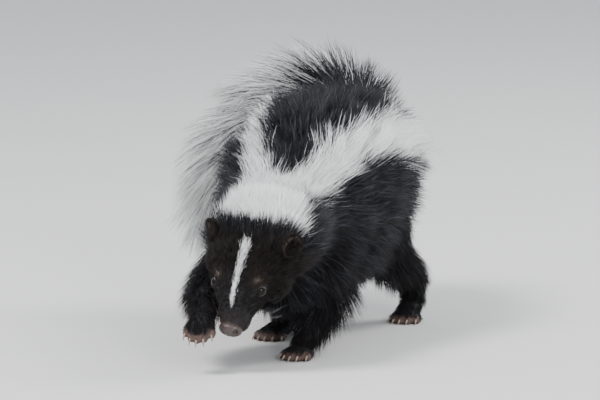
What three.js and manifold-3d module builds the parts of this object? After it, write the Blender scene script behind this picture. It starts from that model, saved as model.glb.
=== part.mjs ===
// A young striped skunk, life size, walking with its head down and its right forepaw lifted.
// Millimetres. +Z is up, the animal faces -Y, and its left is +X. Three paws stand on the floor at z = 0.
// The long coat is a core over the skin, with flat tapered locks rooted in it that lie back along the body.
import * as THREE from "three";
import { mergeVertices } from "three/addons/utils/BufferGeometryUtils.js";
import Module from "manifold-3d";

const wasm = await Module();
wasm.setup();

const GAP = 0.3; // between neighbouring pieces
const LOCK_GAP = 0.5; // round a lock that crosses another piece
const FINE = 0.12; // facets closer to their neighbours than this are joined
const TAU = 2 * Math.PI;
const UP = new THREE.Vector3(0, 0, 1);
const degrees = THREE.MathUtils.degToRad;
const at = (x, y, z) => new THREE.Vector3(x, y, z);

// Driving sizes of the head. Its own frame starts at the nose: x to its left, y back to the neck, z to its crown.
const NOSE_TIP = at(1.5, -59, 29.6);
const HEAD_TURN = degrees(-8);
const HEAD_NOD = degrees(55);
const HEAD_TILT = degrees(11);
const EAR_LINE = 63; // from the nose tip back to the ears
const EYE = { radius: 4.4, side: 17, back: 27.8, up: 11.2 };
const EAR = { wide: 8.2, deep: 4.6, tall: 9.2, side: 29.4, up: 15.6 };
const LID = 1.1; // how far the lids stand proud of the eye

// Driving sizes of the coat.
const BACK_LOCK = 54;
const FLANK_LOCK = 42;
const BELLY_LOCK = 30;
const NAPE_LOCK = 30;
const TAIL_LOCK = 62;
const LEG_LOCK = 25;
const LOCK_WIDE = 17;
const LOCK_THICK = 3.4;
const LOCK_SINK = 6;

// Where the neck and the tail are parted from the trunk, along the body.
const NECK_END = 22;
const TAIL_START = 214;

const COLOURS = {
  black: { color: 0x16151a, roughness: 0.62, metalness: 0 },
  white: { color: 0xe4e2dd, roughness: 0.7, metalness: 0 },
  skin: { color: 0x4a3835, roughness: 0.55, metalness: 0 },
  nose: { color: 0x5a4644, roughness: 0.4, metalness: 0 },
  eye: { color: 0x0a0908, roughness: 0.08, metalness: 0 },
};

// A repeatable row of numbers between 0 and 1.
function seeded(seed) {
  let state = seed;
  return () => {
    state = (state + 0x6d2b79f5) | 0;
    let mixed = Math.imul(state ^ (state >>> 15), 1 | state);
    mixed = (mixed + Math.imul(mixed ^ (mixed >>> 7), 61 | mixed)) ^ mixed;
    return ((mixed ^ (mixed >>> 14)) >>> 0) / 4294967296;
  };
}

const smooth = (low, high, value) => THREE.MathUtils.smoothstep(value, low, high);

// A closed geometry as a solid that can be joined and cut.
function solid(geometry) {
  const bare = new THREE.BufferGeometry();
  bare.setAttribute("position", geometry.getAttribute("position").clone());
  if (geometry.index) bare.setIndex(geometry.index.clone());
  const merged = mergeVertices(bare, 1e-4);
  return new wasm.Manifold(
    new wasm.Mesh({
      numProp: 3,
      vertProperties: new Float32Array(merged.attributes.position.array),
      triVerts: new Uint32Array(merged.index.array),
    }),
  );
}

function join(solids) {
  return solids.reduce((all, one) => all.add(one));
}

function cut(from, tools) {
  return tools.reduce((left, tool) => left.subtract(tool), from);
}

// The largest closed surface of a solid.
function largest(whole) {
  const parts = whole.decompose();
  parts.sort((a, b) => b.volume() - a.volume());
  return parts[0];
}

function indexed(points, triangles) {
  const geometry = new THREE.BufferGeometry();
  const flat = points.flatMap((p) => [p.x, p.y, p.z]);
  geometry.setAttribute("position", new THREE.Float32BufferAttribute(flat, 3));
  geometry.setIndex(triangles);
  return geometry;
}

// Rings of equally many points joined into one closed skin, with a fan at each end.
function skinOver(rings, first, last) {
  const sides = rings[0].length;
  const points = [...rings.flat(), first, last];
  const [start, end] = [points.length - 2, points.length - 1];
  const triangles = [];
  for (let i = 0; i < sides; i++) {
    const next = (i + 1) % sides;
    for (let r = 0; r + 1 < rings.length; r++) {
      const [a, b] = [r * sides + i, r * sides + next];
      triangles.push(a, b + sides, b, a, a + sides, b + sides);
    }
    const top = (rings.length - 1) * sides;
    triangles.push(start, i, next, end, top + next, top + i);
  }
  return indexed(points, triangles);
}

// How a round end closes in: each ring's reach past the end, and its share of the end's size.
const ROUND_END = [[0.5, 0.87], [0.85, 0.53]];
const SMALL_END = [[0.62, 0.72]];

// A smooth form along a bent line. Each station gives its middle, its half width and its half height.
class Form {
  constructor(stations, { sides = 16, steps = 12, side = at(1, 0, 0), cap = 0.7, round = ROUND_END } = {}) {
    this.line = new THREE.CatmullRomCurve3(stations.map((s) => s.middle));
    this.sizes = new THREE.CatmullRomCurve3(stations.map((s) => at(s.wide, s.high, 0)));
    Object.assign(this, { sides, steps, side, cap, round });
  }

  frame(t) {
    const middle = this.line.getPoint(t);
    const along = this.line.getTangent(t);
    const side = this.side.clone().addScaledVector(along, -this.side.dot(along)).normalize();
    const up = side.clone().cross(along);
    const size = this.sizes.getPoint(t);
    return { middle, along, side, up, wide: size.x, high: size.y };
  }

  ring(t, grow, shrink = 1, shift = 0) {
    const f = this.frame(t);
    const points = [];
    for (let i = 0; i < this.sides; i++) {
      const angle = (i / this.sides) * TAU;
      points.push(
        f.middle
          .clone()
          .addScaledVector(f.side, Math.cos(angle) * (f.wide + grow) * shrink)
          .addScaledVector(f.up, Math.sin(angle) * (f.high + grow) * shrink)
          .addScaledVector(f.along, shift),
      );
    }
    return points;
  }

  // The form's surface, grown outwards by a clearance, with round ends.
  solid(grow = 0) {
    const ends = [0, 1].map((t) => {
      const f = this.frame(t);
      return Math.min(f.wide, f.high) * this.cap + grow;
    });
    const rings = [];
    for (const [reach, shrink] of [...this.round].reverse())
      rings.push(this.ring(0, grow, shrink, -ends[0] * reach));
    for (let i = 0; i <= this.steps; i++) rings.push(this.ring(i / this.steps, grow));
    for (const [reach, shrink] of this.round) rings.push(this.ring(1, grow, shrink, ends[1] * reach));
    const [a, b] = [this.frame(0), this.frame(1)];
    const first = a.middle.clone().addScaledVector(a.along, -ends[0]);
    const last = b.middle.clone().addScaledVector(b.along, ends[1]);
    return solid(skinOver(rings, first, last));
  }

  // A point on the surface at a share of the length and an angle from its left side over the top.
  surface(t, angle) {
    const f = this.frame(t);
    const [c, s] = [Math.cos(angle), Math.sin(angle)];
    const point = f.middle
      .clone()
      .addScaledVector(f.side, c * f.wide)
      .addScaledVector(f.up, s * f.high);
    const out = f.side
      .clone()
      .multiplyScalar(c / f.wide)
      .addScaledVector(f.up, s / f.high)
      .normalize();
    return { point, out, along: f.along };
  }
}

// One flat lock: sunk at its root, widest a third of the way out, and tapered to a point.
function lock({ point, out, lie, length, stand, wide, sway, droop }, grow = 0) {
  const flat = lie.clone().addScaledVector(out, -lie.dot(out)).normalize();
  const across = out.clone().cross(flat).normalize();
  const line = (t) => {
    const rise = Math.sin(stand) * (t - 0.38 * t * t);
    return point
      .clone()
      .addScaledVector(flat, length * Math.cos(stand) * t)
      .addScaledVector(out, length * rise)
      .addScaledVector(across, sway * length * t * t)
      .addScaledVector(UP, -droop * length * t * t);
  };
  const start = line(0.05).sub(line(0)).normalize();
  const middles = [point.clone().addScaledVector(start, -LOCK_SINK), line(0.34), line(0.7)];
  const tip = line(1);
  const widths = [0.62, 1, 0.66];
  const thicks = [1, 0.85, 0.55];
  const ringAt = (middle, along, half, deep) => {
    const top = along.clone().cross(across).normalize().negate();
    return [
      middle.clone().addScaledVector(across, half + grow),
      middle.clone().addScaledVector(top, deep + grow),
      middle.clone().addScaledVector(across, -half - grow),
      middle.clone().addScaledVector(top, -deep - grow),
    ];
  };
  const rings = middles.map((middle, i) => {
    const along = (middles[i + 1] ?? tip).clone().sub(i ? middles[i - 1] : middle);
    return ringAt(middle, along, (wide * widths[i]) / 2, (LOCK_THICK * thicks[i]) / 2);
  });
  const last = tip.clone().sub(middles[2]).normalize();
  if (grow) rings.push(ringAt(tip, last, 0, 0));
  const end = tip.clone().addScaledVector(last, grow);
  return solid(skinOver(rings, middles[0], end));
}

// The locks of one stretch of a form, in staggered rows. The grain says how they lie and how long they are.
function coatOn(form, { from, to, rows, around, seed, grain }) {
  const random = seeded(seed);
  const locks = [];
  for (let row = 0; row < rows; row++) {
    const t = from + ((to - from) * (row + 0.5)) / rows;
    for (let i = 0; i < around; i++) {
      const shake = (random() - 0.5) * 0.35;
      const angle = ((i + (row % 2) / 2 + shake) / around) * TAU;
      const here = t + ((random() - 0.5) * 0.5 * (to - from)) / rows;
      const place = form.surface(THREE.MathUtils.clamp(here, 0, 1), angle);
      const look = grain(here, angle, place);
      const spread = 0.85 + 0.3 * random();
      const sway = (random() - 0.5) * 0.24;
      if (look) locks.push({ sway, droop: 0, ...place, ...look, length: look.length * spread });
    }
  }
  return locks;
}

const locksOf = (locks, grow = 0) => join(locks.map((one) => lock(one, grow)));

// A large block on one side of a plane, as a tool for parting.
function beyond(point, normal, clearance = 0) {
  const size = 900;
  const block = new THREE.BoxGeometry(size, size, size);
  block.translate(0, 0, size / 2 + clearance);
  const turn = new THREE.Quaternion().setFromUnitVectors(UP, normal.clone().normalize());
  block.applyQuaternion(turn);
  block.translate(point.x, point.y, point.z);
  return solid(block);
}

const FLOOR = beyond(at(0, 0, 0), at(0, 0, -1));

// An egg shape with half sizes along the three axes of a frame.
function egg(middle, half, frame = new THREE.Matrix4(), across = 12, down = 9) {
  const ball = new THREE.SphereGeometry(1, across, down);
  ball.applyMatrix4(new THREE.Matrix4().makeScale(half.x, half.y, half.z));
  ball.applyMatrix4(frame);
  ball.translate(middle.x, middle.y, middle.z);
  return solid(ball);
}

// The head's frame.
const forward = at(
  Math.sin(HEAD_TURN) * Math.cos(HEAD_NOD),
  -Math.cos(HEAD_TURN) * Math.cos(HEAD_NOD),
  -Math.sin(HEAD_NOD),
);
const level = at(Math.cos(HEAD_TURN), Math.sin(HEAD_TURN), 0);
const crown = forward.clone().cross(level);
const headLeft = level
  .clone()
  .multiplyScalar(Math.cos(HEAD_TILT))
  .addScaledVector(crown, -Math.sin(HEAD_TILT));
const headUp = forward.clone().cross(headLeft);
const headBack = forward.clone().negate();
const headTurn = new THREE.Matrix4().makeBasis(headLeft, headBack, headUp);
const inHead = (x, y, z) => at(x, y, z).applyMatrix4(headTurn).add(NOSE_TIP);
const headStation = ([back, wide, high, up]) => ({ middle: inHead(0, back, up), wide, high });

const skull = new Form(
  [
    [3, 8.2, 6.6, -0.5],
    [9, 11.6, 9, 0],
    [17, 14.6, 12, 2],
    [25, 18.6, 15.4, 4],
    [35, 24.4, 19.6, 4.6],
    [47, 29, 23.2, 3.6],
    [60, 31.5, 25.4, 1.5],
    [84, 31, 26, -3],
  ].map(headStation),
  { sides: 20, steps: 11, side: headLeft },
);
const jawForm = new Form(
  [
    [7.5, 5.2, 3.2, -8.2],
    [15, 8.2, 4.4, -10.6],
    [26, 10.6, 5.2, -12.6],
    [37, 12, 5, -15],
  ].map(headStation),
  { sides: 12, steps: 5, side: headLeft, round: SMALL_END },
);

// The neck and the trunk share one core, from inside the head to the rump.
const trunkStation = ([x, y, z, wide, high]) => ({ middle: at(x, y, z), wide, high });
const trunk = new Form(
  [
    [-2, -42, 72, 26, 24],
    [-1, -20, 82, 29, 27],
    [0, 4, 83, 34, 32],
    [-1, 34, 81, 42, 37],
    [-6, 74, 86, 46, 43],
    [-12, 118, 94, 49, 48],
    [-18, 158, 99, 49, 50],
    [-22, 192, 104, 41, 43],
    [-24, 207, 108, 33, 34],
  ].map(trunkStation),
  { sides: 24, steps: 18, cap: 0.75 },
);

// The tail rises from the rump, swings over to the animal's right and hangs.
const tail = new Form(
  [
    [-23, 194, 124, 19, 18],
    [-28, 219, 139, 17, 17],
    [-42, 232, 151, 16, 16],
    [-69, 226, 152, 16, 16],
    [-96, 206, 137, 15.5, 15.5],
    [-113, 184, 110, 14, 14],
    [-120, 171, 84, 10, 10],
  ].map(trunkStation),
  { sides: 10, steps: 13, side: at(0.55, 0.8, 0) },
);

const neckPlane = { point: inHead(0, EAR_LINE + 1, 0), normal: at(0.034, -0.885, -0.463) };
const chestPlane = { point: at(0, NECK_END, 82), normal: at(0, -1, 0.12) };
const rumpPlane = { point: at(-22, TAIL_START - 2, 136), normal: at(0.2, -0.82, -0.54) };
const archPlane = { point: tail.line.getPoint(0.42), normal: tail.line.getTangent(0.42).negate() };
const plumePlane = { point: tail.line.getPoint(0.72), normal: tail.line.getTangent(0.72).negate() };
// What a plane takes off the piece behind it, and off the piece in front of it.
const ahead = (p) => beyond(p.point, p.normal, -GAP / 2);
const behind = (p) => beyond(p.point, p.normal.clone().negate(), -GAP / 2);

// How the coat of neck and trunk lies: back and down the sides, and up on end over the rump.
function trunkGrain(t, angle, { point, out, along }) {
  const topness = Math.sin(angle);
  const rear = smooth(60, 170, point.y);
  const lie = along.clone().addScaledVector(UP, -0.3 * (1 - rear) * (1 - Math.abs(topness)));
  const upper = smooth(-0.15, 0.75, topness);
  const under = smooth(0.35, 0.95, -topness);
  const flank = THREE.MathUtils.lerp(FLANK_LOCK, BACK_LOCK, upper * rear);
  const length = THREE.MathUtils.lerp(flank, BELLY_LOCK, under);
  const stand = degrees(31 + 23 * rear * upper + 6 * under);
  return { lie, length, stand, wide: LOCK_WIDE };
}

const napeGrain = (t, angle, place) => ({
  ...trunkGrain(t, angle, place),
  length: NAPE_LOCK * (Math.sin(angle) < -0.4 ? 0.75 : 1),
  wide: LOCK_WIDE - 3,
});

// The tail's hair stands out all round, and hangs towards the tip.
const tailGrain = (t, angle, { along }) => ({
  lie: along.clone(),
  length: TAIL_LOCK,
  stand: degrees(46 - 16 * t),
  droop: 0.16 * t,
  wide: LOCK_WIDE - 1,
});

// A leg hangs from the trunk, and its paw is parted from it square across.
function legForm(stations) {
  return new Form(stations.map(trunkStation), { sides: 10, steps: 6, cap: 0.6, round: SMALL_END });
}

const LEGS = {
  foreleg_left: legForm([
    [26, 34, 74, 15, 19],
    [29, 41, 56, 14, 16],
    [28.5, 40, 41, 12, 13],
    [24, 31, 24, 9.2, 9.6],
    [20.5, 19, 8.5, 8, 7.6],
  ]),
  foreleg_right: legForm([
    [-25, 26, 74, 15, 18],
    [-32, 8, 60, 13, 15],
    [-34, -12, 52, 10.5, 11.5],
    [-28.5, -36, 46, 8.6, 8.6],
    [-18.5, -60, 38.5, 7.4, 6.6],
  ]),
  hindleg_left: legForm([
    [10, 176, 90, 17, 27],
    [20, 165, 69, 16, 24],
    [26, 168, 51, 13.5, 18],
    [29, 190, 36, 9.6, 11.5],
    [29, 198, 15, 8, 8],
  ]),
  hindleg_right: legForm([
    [-44, 150, 85, 17, 26],
    [-43, 129, 66, 16, 23],
    [-39, 118, 48, 13, 17],
    [-34, 109, 26, 9.4, 10.6],
    [-32, 104, 8.5, 8.2, 8],
  ]),
};

// A paw in its own frame: y forward to the claws, z up, the floor at z = 0.
const PAWS = {
  forepaw_left: { heel: at(20.5, 22, -1), length: 13, wide: 10, turn: -4, dip: 0, lift: 0, claw: 4 },
  forepaw_right: { heel: at(-18, -57.5, 33), length: 12, wide: 9.6, turn: 6, dip: 40, lift: 0, claw: 4 },
  hindpaw_left: { heel: at(29, 201, -1.4), length: 19, wide: 10.4, turn: -2, dip: 0, lift: 11, claw: 4 },
  hindpaw_right: { heel: at(-32, 108, -1.2), length: 32, wide: 10.4, turn: 3, dip: 0, lift: 0, claw: 4 },
};
const TOES = [
  { side: -0.84, back: 5.2, fan: -16 },
  { side: -0.44, back: 1.2, fan: -7 },
  { side: 0, back: 0, fan: 0 },
  { side: 0.44, back: 1.2, fan: 7 },
  { side: 0.84, back: 5.2, fan: 16 },
];
const TOE = { radius: 3.1, length: 7.5 };

function pawSolid({ heel, length, wide, turn, dip, lift, claw }) {
  const frame = new THREE.Matrix4()
    .makeRotationZ(Math.PI + degrees(turn))
    .multiply(new THREE.Matrix4().makeRotationX(-degrees(dip)));
  const place = (x, y, z) => at(x, y, z).applyMatrix4(frame).add(heel);
  const side = at(1, 0, 0).applyMatrix4(frame);
  const station = ([x, y, z, w, h]) => ({ middle: place(x, y, z), wide: w, high: h });
  const palm = new Form(
    [
      [0, 1, 7.5 + lift, 7.2, 6.6],
      [0, length * 0.5, 6.2 + lift * 0.4, wide * 0.86, 6.4],
      [0, length, 5, wide, 5.4],
    ].map(station),
    { sides: 8, steps: 2, side: side.clone().negate(), cap: 0.5, round: SMALL_END },
  );
  const pieces = [palm.solid()];
  for (const toe of TOES) {
    const fan = degrees(toe.fan);
    const root = at(toe.side * wide * 0.9, length - toe.back - 1, 4.2);
    const run = (d, z) => [root.x + Math.sin(fan) * d, root.y + Math.cos(fan) * d, z];
    const digit = new Form(
      [
        [...run(-3, 4.2), TOE.radius, TOE.radius],
        [...run(TOE.length * 0.55, 4), TOE.radius, TOE.radius],
        [...run(TOE.length, 2.8), TOE.radius * 0.86, TOE.radius * 0.86],
      ].map(station),
      { sides: 6, steps: 1, side: side.clone().negate(), cap: 0.7, round: [] },
    );
    const nail = new Form(
      [
        [...run(TOE.length, 3.4), 1.25, 1.5],
        [...run(TOE.length + claw * 0.6, 2.9), 0.95, 1.2],
        [...run(TOE.length + claw, 1.5), 0.5, 0.55],
      ].map(station),
      { sides: 4, steps: 1, side: side.clone().negate(), cap: 0.9, round: [] },
    );
    pieces.push(digit.solid(), nail.solid());
  }
  return join(pieces);
}

// The planes that part each paw from its leg, at a share of the leg's length.
const WRIST_AT = 0.84;
const WRISTS = Object.fromEntries(
  Object.entries(LEGS).map(([name, form]) => [
    name.replace("leg", "paw"),
    { point: form.line.getPoint(WRIST_AT), normal: form.line.getTangent(WRIST_AT) },
  ]),
);

// Short locks hang from the upper leg, on its outer side and behind.
const LEG_ROWS = { foreleg_left: 2, foreleg_right: 2, hindleg_left: 2, hindleg_right: 2 };
const legGrain = (t, angle, { along }) => ({
  lie: along.clone().addScaledVector(at(0, 1, 0), 0.5),
  length: LEG_LOCK * (1.1 - 0.4 * t),
  stand: degrees(24),
  wide: 11,
});
const legLocks = Object.fromEntries(
  Object.entries(LEGS).map(([name, form], i) => [
    name,
    coatOn(form, { from: 0.34, to: 0.7, rows: LEG_ROWS[name], around: 4, seed: 40 + i, grain: legGrain }),
  ]),
);

const napeLocks = coatOn(trunk, { from: 0.2, to: 0.31, rows: 2, around: 8, seed: 3, grain: napeGrain });
const torsoLocks = coatOn(trunk, { from: 0.36, to: 0.98, rows: 7, around: 10, seed: 7, grain: trunkGrain });
const rootLocks = coatOn(tail, { from: 0.2, to: 0.4, rows: 2, around: 6, seed: 11, grain: tailGrain });
const archLocks = coatOn(tail, { from: 0.44, to: 0.7, rows: 3, around: 6, seed: 12, grain: tailGrain });
const plumeLocks = coatOn(tail, { from: 0.74, to: 1, rows: 4, around: 5, seed: 13, grain: tailGrain });

const nodes = {};

// Head, with sockets, lids, nostrils and the line of the mouth.
const eyes = Object.entries({ left: 1, right: -1 }).map(([name, hand]) => {
  const middle = inHead(hand * EYE.side, EYE.back, EYE.up);
  const out = at(hand * 0.66, -0.42, 0.62).normalize();
  const slit = at(hand * 0.5, 0.86, 0.02).addScaledVector(out, 0).normalize();
  const third = out.clone().cross(slit).normalize();
  const square = slit.clone().addScaledVector(out, -slit.dot(out)).normalize();
  const turn = headTurn.clone().multiply(new THREE.Matrix4().makeBasis(square, third, out));
  const front = middle.clone().add(out.clone().multiplyScalar(EYE.radius * 0.9).applyMatrix4(headTurn));
  return { name, middle, turn, front };
});
const ball = (one, extra) => egg(one.middle, at(1, 1, 1).multiplyScalar(EYE.radius + extra), one.turn);
const noseHalf = at(7.4, 4.6, 5.2);
const noseMiddle = inHead(0, 2.6, -0.8);
const noseBall = (extra) => egg(noseMiddle, noseHalf.clone().addScalar(extra), headTurn, 14, 10);

let head = skull.solid();
head = join([head, ...eyes.map((one) => ball(one, LID))]);
head = cut(head, eyes.map((one) => egg(one.front, at(4.1, 2.9, 4.2), one.turn)));
head = cut(head, eyes.map((one) => ball(one, GAP)));
head = cut(head, [noseBall(GAP), jawForm.solid(GAP), behind(neckPlane)]);
nodes.head = head;

const nostrils = [1, -1].map((hand) =>
  egg(inHead(hand * 4.3, -0.4, -0.6), at(1.5, 2.6, 1.9), headTurn, 8, 7),
);
nodes.nose = cut(noseBall(0), nostrils);
nodes.jaw = jawForm.solid();
for (const one of eyes) nodes["eye_" + one.name] = ball(one, 0);

// Ears: a round cup that opens forward and outward.
for (const [name, hand] of Object.entries({ left: 1, right: -1 })) {
  const open = at(hand * 0.8, -0.5, 0.2).normalize();
  const rise = at(hand * 0.13, 0.54, 0.83);
  rise.addScaledVector(open, -rise.dot(open)).normalize();
  const turn = headTurn
    .clone()
    .multiply(new THREE.Matrix4().makeBasis(open.clone().cross(rise), open, rise));
  const middle = inHead(hand * EAR.side, EAR_LINE - 1, EAR.up);
  const bowl = middle.clone().add(open.clone().multiplyScalar(3.4).applyMatrix4(headTurn));
  const shell = egg(middle, at(EAR.wide, EAR.deep, EAR.tall), turn, 14, 9);
  const hollow = egg(bowl, at(EAR.wide - 2.2, EAR.deep, EAR.tall - 2.2), turn, 12, 8);
  nodes["ear_" + name] = largest(cut(shell, [hollow, skull.solid(GAP), trunk.solid(GAP)]));
}

// Neck, trunk and tail, front to back: each one's locks lie over the next one's core.
const legTools = Object.entries(LEGS).map(([name, form]) =>
  join([form.solid(GAP), locksOf(legLocks[name], LOCK_GAP)]),
);
const earTools = Object.values({ left: 1, right: -1 }).map((hand) =>
  egg(inHead(hand * EAR.side, EAR_LINE - 1, EAR.up), at(11, 11, 11), headTurn),
);
const core = trunk.solid();
const neckCore = cut(core, [ahead(neckPlane), behind(chestPlane)]);
const neckCoat = cut(locksOf(napeLocks), [...legTools, ...earTools, ahead(neckPlane)]);
nodes.neck = largest(join([neckCore, neckCoat]));

const torsoCore = cut(core, [ahead(chestPlane), behind(rumpPlane)]);
const torsoCoat = cut(locksOf(torsoLocks), [...legTools, ahead(chestPlane)]);
nodes.torso = largest(cut(join([torsoCore, torsoCoat]), [locksOf(napeLocks, LOCK_GAP)]));

const tailCore = tail.solid();
const rootCore = cut(tailCore, [ahead(rumpPlane), behind(archPlane)]);
const torsoOver = locksOf(torsoLocks.filter((one) => one.point.y > 150), LOCK_GAP);
nodes.tail_root = largest(cut(join([rootCore, locksOf(rootLocks)]), [torsoOver, trunkTool()]));
const archCore = cut(tailCore, [ahead(archPlane), behind(plumePlane)]);
nodes.tail_arch = largest(cut(join([archCore, locksOf(archLocks)]), [locksOf(rootLocks, LOCK_GAP), torsoOver]));
const plumeCore = cut(tailCore, [ahead(plumePlane)]);
nodes.tail_plume = largest(cut(join([plumeCore, locksOf(plumeLocks)]), [locksOf(archLocks, LOCK_GAP)]));

// The trunk's core, as a tool that clears the tail's root of it.
function trunkTool() {
  return cut(trunk.solid(GAP), [behind(rumpPlane)]);
}

// Legs and paws.
for (const [name, form] of Object.entries(LEGS)) {
  const paw = name.replace("leg", "paw");
  const whole = join([form.solid(), locksOf(legLocks[name])]);
  nodes[name] = largest(cut(whole, [trunk.solid(GAP), beyond(WRISTS[paw].point, WRISTS[paw].normal)]));
  const wrist = beyond(WRISTS[paw].point, WRISTS[paw].normal.clone().negate(), -GAP);
  nodes[paw] = largest(cut(join([pawSolid(PAWS[paw]), form.solid()]), [wrist, FLOOR]));
}

const FINISH = {
  nose: "nose",
  eye_left: "eye",
  eye_right: "eye",
  tail_arch: "white",
  tail_plume: "white",
  neck: "white",
};

const group = new THREE.Group();
for (const [name, body] of Object.entries(nodes)) {
  const { vertProperties, triVerts } = body.simplify(FINE).getMesh();
  const geometry = new THREE.BufferGeometry();
  geometry.setAttribute("position", new THREE.Float32BufferAttribute(vertProperties, 3));
  geometry.setIndex([...triVerts]);
  geometry.computeVertexNormals();
  const mesh = new THREE.Mesh(geometry, new THREE.MeshStandardMaterial(COLOURS[FINISH[name] ?? "black"]));
  mesh.name = name;
  group.add(mesh);
}

// The middle of the standing animal's box is over the origin.
const box = new THREE.Box3().setFromObject(group);
const middle = box.getCenter(at(0, 0, 0));
group.position.set(-middle.x, -middle.y, -box.min.z);

export default group;
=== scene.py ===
"""A life-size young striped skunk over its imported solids: one skin, a tufted coat, eyes and claws.

Sizes are in millimetres in the animal's own frame: +Z is up, it faces -Y and its left is +X.
"""

import logging
import math
from collections.abc import Callable
from dataclasses import dataclass, field
from enum import IntEnum

import bpy
import numpy as np
from mathutils import Matrix, Vector
from mathutils.kdtree import KDTree


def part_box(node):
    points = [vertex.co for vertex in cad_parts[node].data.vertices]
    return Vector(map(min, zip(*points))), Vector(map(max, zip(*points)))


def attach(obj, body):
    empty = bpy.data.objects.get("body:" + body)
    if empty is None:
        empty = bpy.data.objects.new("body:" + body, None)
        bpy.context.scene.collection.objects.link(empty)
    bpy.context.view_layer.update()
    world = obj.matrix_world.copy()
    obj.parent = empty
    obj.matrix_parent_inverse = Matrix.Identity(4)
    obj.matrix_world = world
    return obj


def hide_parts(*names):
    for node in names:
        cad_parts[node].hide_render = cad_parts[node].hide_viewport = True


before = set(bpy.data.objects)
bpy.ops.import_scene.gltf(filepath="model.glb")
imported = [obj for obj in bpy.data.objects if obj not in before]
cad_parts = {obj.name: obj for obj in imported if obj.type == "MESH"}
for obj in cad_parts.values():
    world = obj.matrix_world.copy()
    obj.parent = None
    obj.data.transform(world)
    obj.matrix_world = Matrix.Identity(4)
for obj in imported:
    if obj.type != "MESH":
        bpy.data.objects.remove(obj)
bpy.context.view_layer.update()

log = logging.getLogger("skunk")
Array = np.ndarray
Triple = tuple[float, float, float]
Piece = bpy.types.Object
MM = 0.001
UP = np.array([0.0, 0.0, 1.0])
BACK = np.array([0.0, 1.0, 0.0])
LEFT = np.array([1.0, 0.0, 0.0])


def unit(vectors: Array) -> Array:
    """Vectors of length one along the last axis."""
    return vectors / np.maximum(np.linalg.norm(vectors, axis=-1, keepdims=True), 1e-9)


def ramp(low: float, high: float, values: Array) -> Array:
    """A smooth step from 0 at low to 1 at high."""
    share = np.clip((values - low) / (high - low), 0, 1)
    return share * share * (3 - 2 * share)


def fade(gap: Array, size: float) -> Array:
    """A soft spot: 1 in its middle, and nearly 0 at twice its size."""
    return np.exp(-((gap / size) ** 2))


def mirrored(points: Array, hand: int) -> Array:
    """Places of the left side, or with hand -1 their mirror images."""
    return np.array(points, float) * (hand, 1, 1)


@dataclass(frozen=True)
class Curve:
    """A value that runs in straight lines between its knots."""

    at: tuple[float, ...]
    value: tuple[float, ...]

    def __call__(self, where: Array) -> Array:
        """The value at each place."""
        return np.interp(where, self.at, self.value)


def through(points: Array, count: int) -> Array:
    """Evenly spaced samples of a smooth curve through points.

    Args:
        points: The rows that the curve passes.
        count: How many samples to take.

    Returns:
        One row for each sample.
    """
    last = len(points) - 1
    steps = np.linspace(0, last, count)
    index = np.minimum(steps.astype(int), last - 1)
    f = (steps - index)[:, None]
    padded = np.vstack([2 * points[0] - points[1], points, 2 * points[-1] - points[-2]])
    a, b, c, d = (padded[index + k] for k in range(4))
    bent = (2 * a - 5 * b + 4 * c - d) * f**2
    twisted = (3 * b - a - 3 * c + d) * f**3
    return 0.5 * (2 * b + (c - a) * f + bent + twisted)


class Part(IntEnum):
    """The stretches of the animal that carry their own kind of coat."""

    HEAD = 0
    NECK = 1
    TORSO = 2
    TAIL = 3
    LEG = 4
    PAW = 5
    EAR = 6


@dataclass(frozen=True)
class HeadFrame:
    """The head's own frame: x to its left, y back from the nose tip, z to its crown."""

    nose_tip: Triple = (1.5, -59, 29.6)
    turn: float = -8
    nod: float = 55
    tilt: float = 11

    @property
    def axes(self) -> Array:
        """The frame's left, back and up directions, as rows."""
        turn, nod, tilt = (math.radians(v) for v in (self.turn, self.nod, self.tilt))
        ahead = np.array(
            [math.sin(turn) * math.cos(nod), -math.cos(turn) * math.cos(nod), -math.sin(nod)]
        )
        level = np.array([math.cos(turn), math.sin(turn), 0])
        crown = np.cross(ahead, level)
        left = level * math.cos(tilt) - crown * math.sin(tilt)
        return np.array([left, -ahead, np.cross(ahead, left)])

    def place(self, points: Array) -> Array:
        """Points of the head's frame, in the animal's."""
        return np.asarray(points, float) @ self.axes + np.array(self.nose_tip)

    def local(self, points: Array) -> Array:
        """Points of the animal's frame, in the head's."""
        return (np.asarray(points, float) - np.array(self.nose_tip)) @ self.axes.T


HEAD = HeadFrame()
EYE_AT = (17, 27.8, 11.2)
EYE_LOOKS = (0.62, -0.45, 0.64)
EYE_PATCH_AT = (14, 30.8, 14.2)
PALE_SPOT_AT = (13.4, 30.3, 17)
EAR_AT = (29.4, 62, 15.6)
BOTH_SIDES = (1, -1)


def row_shift() -> Array:
    """Where the animal's own origin lies in the row frame, in metres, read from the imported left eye."""
    low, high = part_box("eye_left")
    middle = np.array((low + high) / 2)
    shift = middle - HEAD.place(EYE_AT) * MM
    shift[2] = 0
    return shift


SHIFT = row_shift()


def to_row(points: Array) -> Array:
    """Millimetres of the animal's frame as metres of the row frame."""
    return np.asarray(points, float) * MM + SHIFT


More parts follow.
